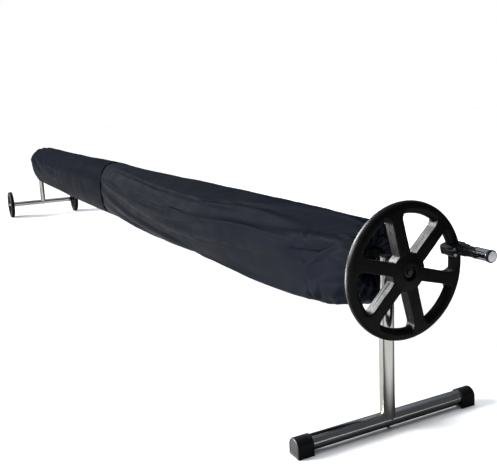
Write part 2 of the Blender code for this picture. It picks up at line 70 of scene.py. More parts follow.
AXLE_BORE = 0.0128  # radius of a hole for the 25 mm axle
BOLT_BORE = 0.0053  # radius of a hole for a 10 mm bolt
TUBE_WALL = 0.0015


# ---- frames and measures

def axis_frame(origin, axis, up=(0, 0, 1)):
    """A frame whose +X is the axis and whose +Z is as near to up as it can be."""
    x = Vector(axis).normalized()
    y = Vector(up).cross(x).normalized()
    turned = Matrix((x, y, x.cross(y))).transposed().to_4x4()
    return Matrix.Translation(origin) @ turned


def joint_frame(name, sign=1, **up):
    joint = JOINTS[name]
    return axis_frame(joint["pos_m"], Vector(joint["axis"]) * sign, **up)


NEAR = joint_frame("reel_spin")  # +X out towards the hand wheel
FAR = joint_frame("far_stand_swing", -1)  # +X out past the far post
TO_GRIP = NEAR.inverted() @ Vector(JOINTS["grip_spin"]["pos_m"])
GRIP_TURN = atan2(TO_GRIP.z, TO_GRIP.y)
GRIP_RADIUS = sqrt(TO_GRIP.y**2 + TO_GRIP.z**2)
GRIP = NEAR @ Matrix.Rotation(GRIP_TURN, 4, "X") @ Matrix.Translation((0, GRIP_RADIUS, 0))
LEFT = joint_frame("left_wheel_spin", -1)
RIGHT = joint_frame("right_wheel_spin")


def corners_of(obj):
    return np.array([v.co for v in obj.data.vertices])


def through(points, place):
    """Points taken from a frame's own coordinates to world ones."""
    turn = np.array(place)
    return points @ turn[:3, :3].T + turn[:3, 3]


def circle(radius, steps, x=0, y=0):
    turns = [2 * pi * i / steps for i in range(steps)]
    return [(x + radius * cos(turn), y + radius * sin(turn)) for turn in turns]


def measure(node, place):
    """(lowest x, highest x, radius) of a CAD node in a frame whose +X is its axis."""
    points = through(corners_of(frame["nodes"][node]), place.inverted())
    return points[:, 0].min(), points[:, 0].max(), np.hypot(points[:, 1], points[:, 2]).max()


def upright(node):
    """A frame at the foot of a standing node, with its +X straight up."""
    low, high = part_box(node)
    return axis_frame(((low.x + high.x) / 2, (low.y + high.y) / 2, 0), (0, 0, 1), up=(1, 0, 0))


# ---- materials

class Look:
    """A Principled material, with helpers that add procedural detail to it."""

    def __init__(self, name, colour, roughness, metallic=0.0, **sockets):
        self.material = bpy.data.materials.new(name)
        self.material.use_nodes = True
        self.tree = self.material.node_tree
        self.shader = self.tree.nodes["Principled BSDF"]
        self.place = self.tree.nodes.new("ShaderNodeTexCoord").outputs["Object"]
        self.shader.inputs["Base Color"].default_value = (*colour, 1)
        self.shader.inputs["Roughness"].default_value = roughness
        self.shader.inputs["Metallic"].default_value = metallic
        for socket, value in sockets.items():
            self.shader.inputs[socket.replace("_", " ")].default_value = value
        self.normal = None

    def node(self, kind, **settings):
        made = self.tree.nodes.new(kind)
        for key, value in settings.items():
            setattr(made, key, value)
        return made

    def link(self, out, into):
        self.tree.links.new(out, into)

    def math(self, operation, one, two):
        made = self.node("ShaderNodeMath", operation=operation)
        self.link(one, made.inputs[0])
        self.link(two, made.inputs[1])
        return made.outputs[0]

    def stretched(self, stretch):
        mapping = self.node("ShaderNodeMapping")
        mapping.inputs["Scale"].default_value = stretch
        self.link(self.place, mapping.inputs["Vector"])
        return mapping.outputs["Vector"]

    def noise(self, scale, detail=3.0, rough=0.55, stretch=(1, 1, 1)):
        made = self.node("ShaderNodeTexNoise")
        made.inputs["Scale"].default_value = scale
        made.inputs["Detail"].default_value = detail
        made.inputs["Roughness"].default_value = rough
        self.link(self.stretched(stretch), made.inputs["Vector"])
        return made.outputs["Fac"]

    def ramp(self, value, low, high, start=0.35, end=0.65):
        """A number mapped from start..end to low..high."""
        made = self.node("ShaderNodeMapRange")
        made.inputs["From Min"].default_value = start
        made.inputs["From Max"].default_value = end
        made.inputs["To Min"].default_value = low
        made.inputs["To Max"].default_value = high
        self.link(value, made.inputs["Value"])
        return made.outputs["Result"]

    def blend_colour(self, value, other, start=0.35, end=0.65):
        """Mixes another colour into what the base colour is so far."""
        mix = self.node("ShaderNodeMix", data_type="RGBA")
        socket = self.shader.inputs["Base Color"]
        if socket.is_linked:
            self.link(socket.links[0].from_socket, mix.inputs["A"])
        else:
            mix.inputs["A"].default_value = socket.default_value
        mix.inputs["B"].default_value = (*other, 1)
        self.link(self.ramp(value, 0, 1, start, end), mix.inputs["Factor"])
        self.link(mix.outputs["Result"], socket)
        return self

    def vary_roughness(self, value, low, high, start=0.35, end=0.65):
        self.link(self.ramp(value, low, high, start, end), self.shader.inputs["Roughness"])
        return self

    def bump(self, height, strength, distance):
        made = self.node("ShaderNodeBump")
        made.inputs["Strength"].default_value = strength
        made.inputs["Distance"].default_value = distance
        self.link(height, made.inputs["Height"])
        if self.normal:
            self.link(self.normal, made.inputs["Normal"])
        self.normal = made.outputs["Normal"]
        self.link(self.normal, self.shader.inputs["Normal"])
        return self


def grain(along):
    """Stretch that draws a noise out into long hairs along one axis."""
    return tuple(1 if axis == along else 60 for axis in "XYZ")


def stainless(name, along):
    """Polished tube: a mirror with faint drawn hairlines along it and a little dulling."""
    look = Look(name, (0.36, 0.352, 0.335), 0.14, 1.0)
    hairs = look.noise(9, 4, 0.6, grain(along))
    look.vary_roughness(hairs, 0.11, 0.22)
    look.blend_colour(look.noise(14, 2), (0.30, 0.295, 0.285), 0.45, 0.8)
    return look.bump(hairs, 0.06, 0.0002).material


def moulded(name, colour, dusty, roughness=0.42, mould=2600, shine=0.5):
    """Moulded plastic: fine spark-eroded texture, uneven gloss, and dust."""
    look = Look(name, colour, roughness, Specular_IOR_Level=shine)
    look.blend_colour(look.noise(9, 5), dusty, 0.48, 0.85)
    look.vary_roughness(look.noise(38, 4), roughness - 0.07, roughness + 0.10)
    look.bump(look.noise(mould, 2), 0.10, 0.00025)
    return look.bump(look.noise(24, 2), 0.05, 0.0015).material


def rubber():
    look = Look("tyre_rubber", (0.0045, 0.0045, 0.0048), 0.60, Specular_IOR_Level=0.06)
    look.blend_colour(look.noise(26, 5), (0.0085, 0.0083, 0.0080), 0.5, 0.9)
    look.vary_roughness(look.noise(60, 3), 0.55, 0.80)
    return look.bump(look.noise(900, 3), 0.15, 0.0004).material


def plated():
    look = Look("zinc_plated", (0.56, 0.57, 0.58), 0.32, 1.0)
    look.blend_colour(look.noise(70, 4), (0.44, 0.44, 0.43), 0.5, 0.8)
    look.vary_roughness(look.noise(160, 3), 0.24, 0.45)
    return look.bump(look.noise(900, 2), 0.05, 0.0002).material


def aluminium():
    look = Look("drawn_aluminium", (0.70, 0.71, 0.72), 0.34, 1.0)
    lines = look.noise(7, 4, 0.6, grain("X"))
    look.vary_roughness(lines, 0.28, 0.44)
    look.blend_colour(look.noise(6, 4), (0.58, 0.59, 0.60), 0.5, 0.8)
    return look.bump(lines, 0.10, 0.0002).material


def chrome():
    look = Look("chromed_sleeve", (0.27, 0.27, 0.30), 0.12, 1.0)
    look.vary_roughness(look.noise(60, 3), 0.10, 0.18)
    return look.bump(look.noise(420, 2), 0.02, 0.0002).material


def bubble_film():
    """Blue film with rows of round bubbles."""
    look = Look("bubble_film", (0.03, 0.16, 0.38), 0.30)
    cells = look.node("ShaderNodeTexVoronoi", feature="SMOOTH_F1")
    cells.inputs["Scale"].default_value = 90
    look.link(look.place, cells.inputs["Vector"])
    look.blend_colour(look.noise(8, 3), (0.05, 0.24, 0.48))
    look.vary_roughness(look.noise(40, 2), 0.24, 0.42)
    return look.bump(look.ramp(cells.outputs["Distance"], 1, 0, 0.0, 0.5), 0.6, 0.003).material


def polyester(name, colour, lit, shine):
    """Coated polyester: a plain weave, faint slubs, and a cool sheen. The UV map is in metres."""
    look = Look(name, colour, 0.44, Specular_IOR_Level=shine)
    weave = look.node("ShaderNodeUVMap", uv_map="cloth")
    waves = []
    for axis in ("X", "Y"):
        wave = look.node("ShaderNodeTexWave", wave_type="BANDS", bands_direction=axis)
        wave.inputs["Scale"].default_value = 220
        wave.inputs["Distortion"].default_value = 0.6
        wave.inputs["Detail"].default_value = 1
        look.link(weave.outputs["UV"], wave.inputs["Vector"])
        waves.append(wave.outputs["Fac"])
    look.blend_colour(look.noise(3.2, 5), lit, 0.42, 0.72)
    look.blend_colour(look.noise(300, 2, stretch=(1, 6, 6)), lit, 0.55, 0.9)
    look.vary_roughness(look.noise(11, 4), 0.40, 0.50)
    look.bump(look.noise(26, 4), 0.07, 0.003)
    return look.bump(look.math("MAXIMUM", *waves), 0.12, 0.0004).material


STEEL_Y = stainless("polished_tube_across", "Y")
STEEL_Z = stainless("polished_tube_upright", "Z")
WHEEL_BLACK = moulded("black_wheel_plastic", (0.0028, 0.0028, 0.0031), (0.0042, 0.0042, 0.0044), 0.32,
                      shine=0.045)
TRIM_BLACK = moulded("black_trim_plastic", (0.0060, 0.0063, 0.0075), (0.0100, 0.0100, 0.0108), 0.30,
                     shine=0.12)
FOOT_BLACK = moulded("black_foot_rubber", (0.0058, 0.0058, 0.0062), (0.0080, 0.0080, 0.0080), 0.40,
                     1500, 0.09)
BEARING = moulded("grey_bearing_plastic", (0.30, 0.31, 0.32), (0.22, 0.22, 0.22), 0.45)
SILVER = moulded("silver_cap_plastic", (0.60, 0.61, 0.63), (0.46, 0.46, 0.47), 0.24)
TYRE = rubber()
PLATED = plated()
BLACK_BOLT = Look("blackened_bolt", (0.012, 0.012, 0.013), 0.38, 0.6).material
ALUMINIUM = aluminium()
CHROME = chrome()
FILM = bubble_film()
# The two sleeves are one navy cloth: the far sleeve's copy has a slightly darker base colour, painted shade, and
# less shine.
NEAR_CLOTH = polyester("navy_polyester_near", (0.0042, 0.0050, 0.0080), (0.0056, 0.0063, 0.0090), 0.009)
FAR_CLOTH = polyester("navy_polyester_far", (0.0039, 0.0046, 0.0077), (0.0050, 0.0057, 0.0085), 0.003)


# ---- mesh tools

def new_piece(name):
    obj = bpy.data.objects.new(name, bpy.data.meshes.new(name))
    bpy.context.scene.collection.objects.link(obj)
    return obj


def finish_mesh(name, work, look, crease=32):
    """A new piece from the bmesh, with its faces out and its round parts smooth."""
    obj = new_piece(name)
    bmesh.ops.recalc_face_normals(work, faces=work.faces)
    work.to_mesh(obj.data)
    work.free()
    obj.data.materials.append(look)
    obj.data.shade_smooth()
    if crease:
        obj.data.set_sharp_from_angle(angle=radians(crease))
    return obj


def wear(obj, node):
    """Puts a piece on the body of the CAD node that it stands for, and hides the node."""
    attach(obj, BODY[node])
    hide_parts(node)
    return obj


def corner_arc(before, corner, after, radius, steps=3):
    """A rounded corner between two edges, cut back if an edge is too short for the radius."""
    corner = Vector(corner)
    one, two = Vector(before) - corner, Vector(after) - corner
    reach = min(radius, one.length * 0.45, two.length * 0.45)
    start, end = corner + one.normalized() * reach, corner + two.normalized() * reach
    points = []
    for i in range(steps + 1):
        t = i / steps
        points.append(tuple((1 - t) ** 2 * start + 2 * t * (1 - t) * corner + t * t * end))
    return points


def soften(points, radius, loop=True, steps=3):
    """An outline with every corner rounded. An open outline keeps its two ends."""
    count = len(points)
    out = []
    for i, point in enumerate(points):
        if not loop and i in (0, count - 1):
            out.append(tuple(point))
        else:
            out += corner_arc(points[i - 1], point, points[(i + 1) % count], radius, steps)
    return out


def bridge(work, one, two):
    """Faces between two rings. A ring on the axis is one point."""
    count = max(len(one), len(two))
    for i in range(count):
        j = (i + 1) % count
        corners = one[i % len(one)], two[i % len(two)], two[j % len(two)], one[j % len(one)]
        corners = list(dict.fromkeys(corners))
        if len(corners) > 2:
            work.faces.new(corners)


def lathe_into(work, profile, place, steps, loop):
    """Adds a body turned about the frame's X from (x, radius) points. An open profile ends on the axis."""
    rings = []
    for x, radius in profile:
        ring = circle(radius, steps) if radius > 1e-6 else [(0, 0)]
        rings.append([work.verts.new(place @ Vector((x, y, z))) for y, z in ring])
    for one, two in list(zip(rings, rings[1:])) + ([(rings[-1], rings[0])] if loop else []):
        bridge(work, one, two)


def lathe(name, node, profile, place, look, steps=FINE, loop=False, edge=0.0006):
    """A turned piece that stands for a CAD node."""
    work = bmesh.new()
    lathe_into(work, soften(profile, edge, loop), place, steps, loop)
    return wear(finish_mesh(name, work, look), node)


def pipe_profile(low, high, radius, inner):
    return [(low, inner), (low, radius), (high, radius), (high, inner)]


def rod_profile(low, high, radius):
    return [(low, 0), (low, radius), (high, radius), (high, 0)]


def oblong(low, high, half):
    return [(low, -half), (high, -half), (high, half), (low, half)]


def loft_into(work, sections, place):
    """Adds a closed body through sections, each an x and an outline of as many points in the YZ plane."""
    rings = [[work.verts.new(place @ Vector((x, y, z))) for y, z in outline] for x, outline in sections]
    for one, two in zip(rings, rings[1:]):
        bridge(work, one, two)
    work.faces.new(rings[0])
    work.faces.new(rings[-1])


def plate_into(work, outline, low, high, place):
    """Adds a flat plate: an outline in the frame's YZ plane, from x = low to x = high."""
    loft_into(work, [(low, outline), (high, outline)], place)


def apply_modifiers(obj):
    graph = bpy.context.evaluated_depsgraph_get()
    mesh = bpy.data.meshes.new_from_object(obj.evaluated_get(graph))
    obj.modifiers.clear()
    obj.data = mesh


def remesh(obj, voxel):
    """Fuses overlapping closed bodies into one skin, with small fillets where they meet."""
    look = obj.data.materials[0]
    change = obj.modifiers.new("fuse", "REMESH")
    change.mode = "VOXEL"
    change.voxel_size = voxel
    smooth = obj.modifiers.new("settle", "SMOOTH")
    smooth.factor = 0.5
    smooth.iterations = 3
    apply_modifiers(obj)
    obj.data.materials.clear()
    obj.data.materials.append(look)
    obj.data.shade_smooth()


def cut_away(obj, work, crease=None):
    """Cuts the bmesh's bodies out of a piece. The last cut sets the crease angle."""
    cutter = new_piece(obj.name + "_cutter")
    bmesh.ops.recalc_face_normals(work, faces=work.faces)
    work.to_mesh(cutter.data)
    work.free()
    change = obj.modifiers.new("cut", "BOOLEAN")
    change.operation = "DIFFERENCE"
    change.object = cutter
    apply_modifiers(obj)
    bpy.data.objects.remove(cutter)
    if crease:
        obj.data.shade_smooth()
        obj.data.set_sharp_from_angle(angle=radians(crease))


def hex_bolt(name, place, low, face, high, across, radius, look):
    """A bolt along the frame's X: its shank from low to face, and a chamfered head up to high."""
    work = bmesh.new()
    lathe_into(work, soften(rod_profile(low, face + 0.0005, radius), 0.0004, False), place, 32, False)
    outline = circle(across / sqrt(3), 6)
    inner = [(y * 0.93, z * 0.93) for y, z in outline]
    chamfer = (high - face) * 0.18
    loft_into(work, [(face, outline), (high - chamfer, outline), (high, inner)], place)
    return finish_mesh(name, work, look, 25)


# ---- stands

def pipe(name, node, place, look, inner=0, wall=0, steps=FINE):
    """A plain pipe as long and as wide as its CAD node, with either its bore or its wall given."""
    low, high, radius = measure(node, place)
    lathe(name, node, pipe_profile(low, high, radius, inner or radius - wall), place, look, steps, True)


def cross_tube(name, node):
    pipe(name, node, axis_frame(sum(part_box(node), Vector()) / 2, (0, 1, 0)), STEEL_Y, wall=TUBE_WALL)


def post(label, below):
    """The post, saddle-cut on to the tube below it and bored across for the bearing."""
    node = f"{label}_post_tube"
    place = upright(node)
    centre = sum(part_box(below), Vector()) / 2
    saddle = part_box(below)[1].z - centre.z + 0.0003
    radius = measure(node, place)[2]
    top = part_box(node)[1].z
    work = bmesh.new()
    walls = []
    for r in (radius, radius - TUBE_WALL):
        rings = []
        for share in np.linspace(0, 1, 24):
            ring = []
            for across, along in circle(r, FINE):
                start = centre.z + sqrt(max(saddle**2 - across**2, 0))
                ring.append(work.verts.new((centre.x + across, along, start + (top - start) * share)))
            rings.append(ring)
        walls.append(rings)
        for one, two in zip(rings, rings[1:]):
            bridge(work, one, two)
    for end in (0, -1):
        bridge(work, walls[0][end], walls[1][end])
    tube = finish_mesh(f"{label}_post", work, STEEL_Z)
    hole = bmesh.new()
    lathe_into(hole, rod_profile(-0.05, 0.05, 0.0168), NEAR if label == "near" else FAR, FINE, False)
    cut_away(tube, hole, 32)
    wear(tube, node)


def post_cap(label):
    node = f"{label}_post_cap"
    place = upright(node)
    low, high, radius = measure(node, place)
    top = high - 0.009
    dome = [(low, 0), (low, radius - 0.0018), (top, radius - 0.0018), (top, radius), (top + 0.0016, radius)]
    for i in range(1, 9):
        turn = pi / 2 * i / 8
        dome.append((top + 0.0016 + (high - top - 0.0016) * sin(turn), radius * cos(turn)))
    dome[-1] = (high, 0)
    lathe(f"{label}_cap", node, dome, place, TRIM_BLACK, edge=0.0004)


def bearing(label, place):
    """The flanged bush through the post, and the set collar behind it on the axle."""
    bush = f"{label}_bearing_bush"
    low, high, flange = measure(bush, place)
    shank, back = 0.0165, high - 0.0037
    profile = [(low, AXLE_BORE), (low, shank), (back, shank), (back, flange), (high, flange),
               (high, AXLE_BORE)]
    lathe(f"{label}_bush", bush, profile, place, BEARING, loop=True)
    pipe(f"{label}_set_collar", f"{label}_axle_collar", place, PLATED, AXLE_BORE, steps=SMALL)


def foot_cap(node, side):
    """A moulded foot, round on top and flat below, with a step where the socket starts."""
    low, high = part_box(node)
    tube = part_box("near_foot_tube")
    centre = sum(tube, Vector()) / 2
    inner, outer = sorted((abs(low.y), abs(high.y)))
    place = axis_frame((centre.x, 0, centre.z), (0, side, 0))
    half = (high.x - low.x) / 2
    crown = high.z - centre.z
    floor = low.z - centre.z

    def outline(grow):
        points = [((half + grow) * cos(pi * i / 40), (crown + grow) * sin(pi * i / 40)) for i in range(41)]
        sole = [(-half - grow, floor + 0.010), (-half + 0.001, floor - min(grow, 0)),
                (half - 0.001, floor - min(grow, 0)), (half + grow, floor + 0.010)]
        return points + soften([points[-1], *sole, points[0]], 0.0025, False, 4)[1:-1]

    # Sections along the cap: a thin lip, a body, and an outer end that is rounded over.
    ends = [(inner, -0.0012), (inner + 0.0012, 0), (inner + 0.010, 0),
            (inner + 0.0106, -0.0006), (inner + 0.0116, -0.0006), (inner + 0.0122, 0)]
    for i in range(7):
        turn = pi / 2 * i / 6
        ends.append((outer - 0.004 + 0.004 * sin(turn), 0.004 * (cos(turn) - 1)))
    ends.append((outer, -0.0065))
    ends.append((outer - 0.0008, -0.0075))
    work = bmesh.new()
    loft_into(work, [(x, outline(grow)) for x, grow in ends], place)
    cap = finish_mesh(node.replace("near_", ""), work, FOOT_BLACK, 34)
    socket = bmesh.new()
    radius = (tube[1].z - tube[0].z) / 2 + 0.0003
    lathe_into(socket, rod_profile(inner - 0.01, tube[1].y + 0.0003, radius), place, FINE, False)
    cut_away(cap, socket, 34)
    wear(cap, node)


# ---- hand wheel and grip

SPOKES = 6
SPOKE_TURN = radians(-15.2)
WHEEL_PLANE = 0.092  # centre plane of the rim, from the near post
RIM_HALF = 0.0195
HUB_FACE = WHEEL_PLANE + 0.025
HUB_FLOOR = HUB_FACE - 0.009


def hand_wheel():
    """One moulding, fused from a round rim, six channel spokes and a hub with a boss."""
    back, _, reach = measure("handwheel", NEAR)
    rim = reach - RIM_HALF
    spoke_front, spoke_back, wall = WHEEL_PLANE + 0.0205, WHEEL_PLANE - 0.0215, 0.005
    work = bmesh.new()
    lathe_into(work, circle(RIM_HALF, 32, WHEEL_PLANE, rim), NEAR, 160, True)

    at_hub, at_rim, start, end = 0.0203, 0.0193, 0.034, rim + 0.001

    def half_width(r):
        """The spoke's half width, flared where it meets the rim."""
        flare = max(0.0, (r - (rim - RIM_HALF - 0.016)) / 0.024)
        return at_hub + (at_rim - at_hub) * (r - 0.05) / (rim - RIM_HALF - 0.05) + 0.012 * flare**2

    radii = [start, 0.05, 0.08, 0.11, 0.14, 0.155, 0.162, 0.168, 0.174, 0.180, end]
    for index in range(SPOKES):
        turned = NEAR @ Matrix.Rotation(SPOKE_TURN + 2 * pi * index / SPOKES, 4, "X")
        upper = [(r, half_width(r)) for r in radii]
        lower = [(r, -half_width(r)) for r in reversed(radii)]
        plate_into(work, upper + lower, spoke_front - wall, spoke_front, turned)
        for side in (1, -1):
            # Each wall steps in a little at half its depth, where the mould parts.
            for inset, low, high in ((0, WHEEL_PLANE - 0.001, spoke_front - 0.001),
                                     (0.0016, spoke_back, WHEEL_PLANE)):
                outside = [(r, side * (half_width(r) - inset)) for r in radii]
                inside = [(r, side * (half_width(r) - wall)) for r in reversed(radii)]
                plate_into(work, outside + inside, low, high, turned)
        for r in (0.095, 0.135):
            # A cross rib ties the two walls of each channel together.
            rib = oblong(r - 0.0015, r + 0.0015, half_width(r) - 0.002)
            plate_into(work, rib, spoke_back + 0.006, spoke_front - 0.001, turned)

    hub, boss, seat = 0.060, 0.030, WHEEL_PLANE - 0.0117
    profile = [(back, AXLE_BORE), (back, boss), (spoke_back - 0.003, boss), (spoke_back, hub - 0.002),
               (spoke_front - 0.002, hub), (spoke_front - 0.0003, 0.058), (HUB_FACE - 0.0012, 0.036),
               (HUB_FACE, 0.029), (HUB_FACE, 0.0235), (HUB_FACE - 0.002, 0.0215), (HUB_FLOOR, 0.0210),
               (HUB_FLOOR, BOLT_BORE), (seat, BOLT_BORE), (seat, AXLE_BORE)]
    lathe_into(work, soften(profile, 0.001), NEAR, 128, True)
    wheel = finish_mesh("hand_wheel", work, WHEEL_BLACK, 0)
    remesh(wheel, 0.0017)
    wear(wheel, "handwheel")


def wheel_hardware():
    pipe("wheel_washer", "handwheel_washer", NEAR, BLACK_BOLT, BOLT_BORE, steps=SMALL)
    face = measure("handwheel_washer", NEAR)[1] + 0.0003
    low, top, _ = measure("handwheel_bolt", NEAR)
    wear(hex_bolt("wheel_bolt", NEAR, low, face, top, 0.017, 0.005, BLACK_BOLT), "handwheel_bolt")


CLAMP_FACE = WHEEL_PLANE + 0.030
CLAMP_BOLTS = [GRIP @ Matrix.Translation((0, -0.0262, offset)) for offset in (0.0095, -0.0095)]


def grip_bracket():
    """The two halves of the rim clamp. The front one carries a stepped boss and neck for the spindle."""
    rim = measure("handwheel", NEAR)[2] - RIM_HALF
    for label in ("back", "front"):
        node = f"grip_clamp_{label}"
        low, high, _ = measure(node, GRIP)
        face = high if label == "back" else CLAMP_FACE
        outline = soften([(-0.0312, -0.0125), (-0.0312, 0.0125), (-0.026, 0.0175), (0.018, 0.0175),
                          (0.0255, 0.012), (0.0255, -0.012), (0.018, -0.0175), (-0.026, -0.0175)], 0.005)
        work = bmesh.new()
        plate_into(work, outline, low, face, GRIP)
        if label == "front":
            neck = [(face - 0.006, 0), (face - 0.006, 0.0190), (0.128, 0.0195), (0.146, 0.0195),
                    (0.1500, 0.0184), (0.157, 0.0174), (0.166, 0.0170), (high, 0.0168), (high, 0)]
            lathe_into(work, soften(neck, 0.002, False), GRIP, SMALL, False)
            for side, pad in zip((1, -1), CLAMP_BOLTS):
                lathe_into(work, rod_profile(low, face + 0.0002, 0.0068), pad, 32, False)
                # Two ribs run out along the neck, above and below it.
                turned = GRIP @ Matrix.Rotation(side * radians(62), 4, "X")
                plate_into(work, oblong(0.0150, 0.0205, 0.0022), face - 0.002, 0.1545, turned)
        piece = finish_mesh(f"rim_clamp_{label}", work, TRIM_BLACK, 0)
        remesh(piece, 0.0009)
        cutters = bmesh.new()
        lathe_into(cutters, circle(RIM_HALF + 0.0004, 40, WHEEL_PLANE, rim), NEAR, 240, True)
        cut_away(piece, cutters)
        cutters = bmesh.new()
        for way in CLAMP_BOLTS:
            lathe_into(cutters, rod_profile(0, 0.2, 0.0033), way, 32, False)
        if label == "front":
            lathe_into(cutters, rod_profile(0.1297, 0.2, BOLT_BORE), GRIP, 32, False)
        cut_away(piece, cutters, 40)
        wear(piece, node)
    for label, place in zip(("upper", "lower"), CLAMP_BOLTS):
        node = f"grip_clamp_bolt_{label}"
        low, top, _ = measure(node, place)
        wear(hex_bolt(f"clamp_bolt_{label}", place, low, top - 0.004, top, 0.009, 0.003, PLATED), node)


def crank_grip():
    """The turning grip: its body, bright sleeve, end ring and cap, and the fixed spindle inside."""
    low, high, core = measure("grip_body", GRIP)
    step = measure("grip_sleeve", GRIP)[0] - 0.0003
    body = [(low, BOLT_BORE), (low, 0.0168), (low + 0.0030, 0.0175), (low + 0.0075, 0.0182),
            (step - 0.0037, core), (step, core), (step, 0.0160), (high, 0.0160), (high, BOLT_BORE)]
    lathe("crank_body", "grip_body", body, GRIP, TRIM_BLACK, SMALL, True, 0.001)
    low, high, radius = measure("grip_sleeve", GRIP)
    bead = [(low, 0.0163), (low, radius - 0.0004), (low + 0.0012, radius), (high - 0.0012, radius),
            (high, radius - 0.0004), (high, 0.0163)]
    lathe("crank_sleeve", "grip_sleeve", bead, GRIP, CHROME, FINE, True, 0.0003)
    low, high, radius = measure("grip_end_ring", GRIP)
    ring = [(low, BOLT_BORE), (low, radius - 0.0006), (low + 0.001, radius), (high - 0.0022, radius),
            (high, radius - 0.0016), (high, 0.0167), (high - 0.0064, 0.0165), (high - 0.0066, BOLT_BORE)]
    lathe("crank_end_ring", "grip_end_ring", ring, GRIP, TRIM_BLACK, FINE, True, 0.0005)
    low, high, radius = measure("grip_end_cap", GRIP)
    cap = [(low, 0), (low, radius - 0.0002), (high - 0.0026, radius - 0.0002), (high - 0.0010, 0.0150),
           (high - 0.0010, 0.0106), (high - 0.0004, 0.0098), (high, 0.0064), (high, 0)]
    lathe("crank_end_cap", "grip_end_cap", cap, GRIP, SILVER, edge=0.0004)
    low, high, radius = measure("grip_spindle", GRIP)
    head = high - 0.0020
    pin = [(low, 0), (low, 0.005), (head, 0.005), (head, radius), (high, radius), (high, 0)]
    lathe("crank_spindle", "grip_spindle", pin, GRIP, PLATED, SMALL)


# ---- reel tube and its ends

def reel_ends():
    for label, place in (("near", NEAR), ("far", FAR)):
        node = f"{label}_axle"
        look = BLACK_BOLT if label == "near" else PLATED
        lathe(f"{label}_shaft", node, rod_profile(*measure(node, place)), place, look, SMALL)
        node = f"{label}_reel_plug"
        low, high, flange = measure(node, place)
        back = high - 0.0037
        plug = [(low, AXLE_BORE), (low, flange - 0.0021), (back, flange - 0.0021), (back, flange),
                (high - 0.001, flange), (high, flange - 0.002), (high, 0.020), (high - 0.002, 0.018),
                (high - 0.002, AXLE_BORE)]
        lathe(f"{label}_tube_end", node, plug, place, TRIM_BLACK, loop=True)
        pipe(f"{label}_reel_tube", f"reel_tube_{label}", place, ALUMINIUM, wall=0.0018)
    pipe("far_thrust_washer", "far_axle_washer", FAR, PLATED, AXLE_BORE, steps=SMALL)


# ---- far wheels

def mirrored(half):
    """A loop of (x, radius) points from the half of it on the +X side, which starts at the inside."""
    return [(-x, radius) for x, radius in half] + half[::-1]


def far_wheel(label, place):
    """A rubber tyre on a moulded centre with eight ribs, its hub cap, and the cross tube's end plug."""
    low, high, radius = measure(f"{label}_tyre", place)
    centre = place @ Matrix.Translation(((low + high) / 2, 0, 0))
    half, inner = (high - low) / 2, 0.115
    tread = mirrored([(half - 0.003, inner), (half, inner + 0.008), (half, 0.133), (half - 0.004, 0.1405),
                      (half - 0.011, radius), (0.0045, radius), (0.0030, radius - 0.003)])
    lathe(f"{label}_rubber_tyre", f"{label}_tyre", tread, centre, TYRE, 128, True, 0.002)
    disc = mirrored([(0.010, 0.010), (0.010, 0.020), (0.004, 0.023), (0.0035, 0.060), (0.003, 0.099),
                     (0.0165, 0.104), (0.0165, inner - 0.0003)])
    # The hub reaches further out on the inner side.
    disc[:2] = [(-0.018, 0.010), (-0.018, 0.020)]
    work = bmesh.new()
    lathe_into(work, soften(disc, 0.0015), centre, 128, True)
    for index in range(8):
        turned = centre @ Matrix.Rotation(2 * pi * index / 8, 4, "X")
        plate_into(work, oblong(0.019, 0.103, 0.0018), -0.009, 0.009, turned)
    piece = finish_mesh(f"{label}_wheel_disc", work, WHEEL_BLACK, 0)
    remesh(piece, 0.0016)
    wear(piece, f"{label}_wheel_centre")
    node = f"{label}_hub_cap"
    low, high, radius = measure(node, place)
    cap = [(low, 0), (low, radius), (low + 0.0035, radius), (low + 0.0060, radius - 0.0025),
           (high - 0.0003, 0.0045), (high, 0)]
    lathe(f"{label}_axle_cap", node, cap, place, SILVER, SMALL, edge=0.001)
    node = f"{label}_tube_plug"
    low, high, radius = measure(node, place)
    back = high - 0.0057
    plug = [(low, 0.0063), (low, 0.0232), (back, 0.0232), (back, radius), (high - 0.003, radius),
            (high, radius - 0.003), (high, 0.0063)]
    lathe(f"{label}_end_plug", node, plug, place, TRIM_BLACK, loop=True)


# ---- camera, lights and floor

def camera():
    """The photograph's view: turned 63.7 degrees from +Y towards -X, tipped 10.1 down and rolled a little."""
    azimuth, tip, roll = radians(63.716), radians(10.138), radians(-2.859)
    place = Vector((1.6176, -1.2700, 1.0320))
    look = Vector((-sin(azimuth) * cos(tip), cos(azimuth) * cos(tip), -sin(tip)))
    right = Vector((cos(azimuth), sin(azimuth), 0))
    up = right.cross(look)
    across = cos(roll) * right + sin(roll) * up
    above = -sin(roll) * right + cos(roll) * up
    data = bpy.data.cameras.new("camera")
    data.sensor_width = 36
    data.lens = 47.94
    obj = bpy.data.objects.new("camera", data)
    bpy.context.scene.collection.objects.link(obj)
    turn = Matrix((across, above, -look)).transposed().to_4x4()
    obj.matrix_world = Matrix.Translation(Vector((NEAR.translation.x, 0, 0)) + place) @ turn
    bpy.context.scene.camera = obj


def area_light(name, place, target, size, power, *receivers):
    """A panel of light, kept off everything but its receivers where it has any."""
    data = bpy.data.lights.new(name, "AREA")
    data.shape = "RECTANGLE"
    data.size, data.size_y = size
    data.energy = power
    obj = bpy.data.objects.new(name, data)
    bpy.context.scene.collection.objects.link(obj)
    toward = Vector(target) - Vector(place)
    obj.matrix_world = Matrix.Translation(place) @ toward.to_track_quat("-Z", "Y").to_matrix().to_4x4()
    obj.visible_camera = False
    if receivers:
        group = bpy.data.collections.new(name)
        for piece in receivers:
            group.objects.link(bpy.data.objects[piece])
        obj.light_linking.receiver_collection = group


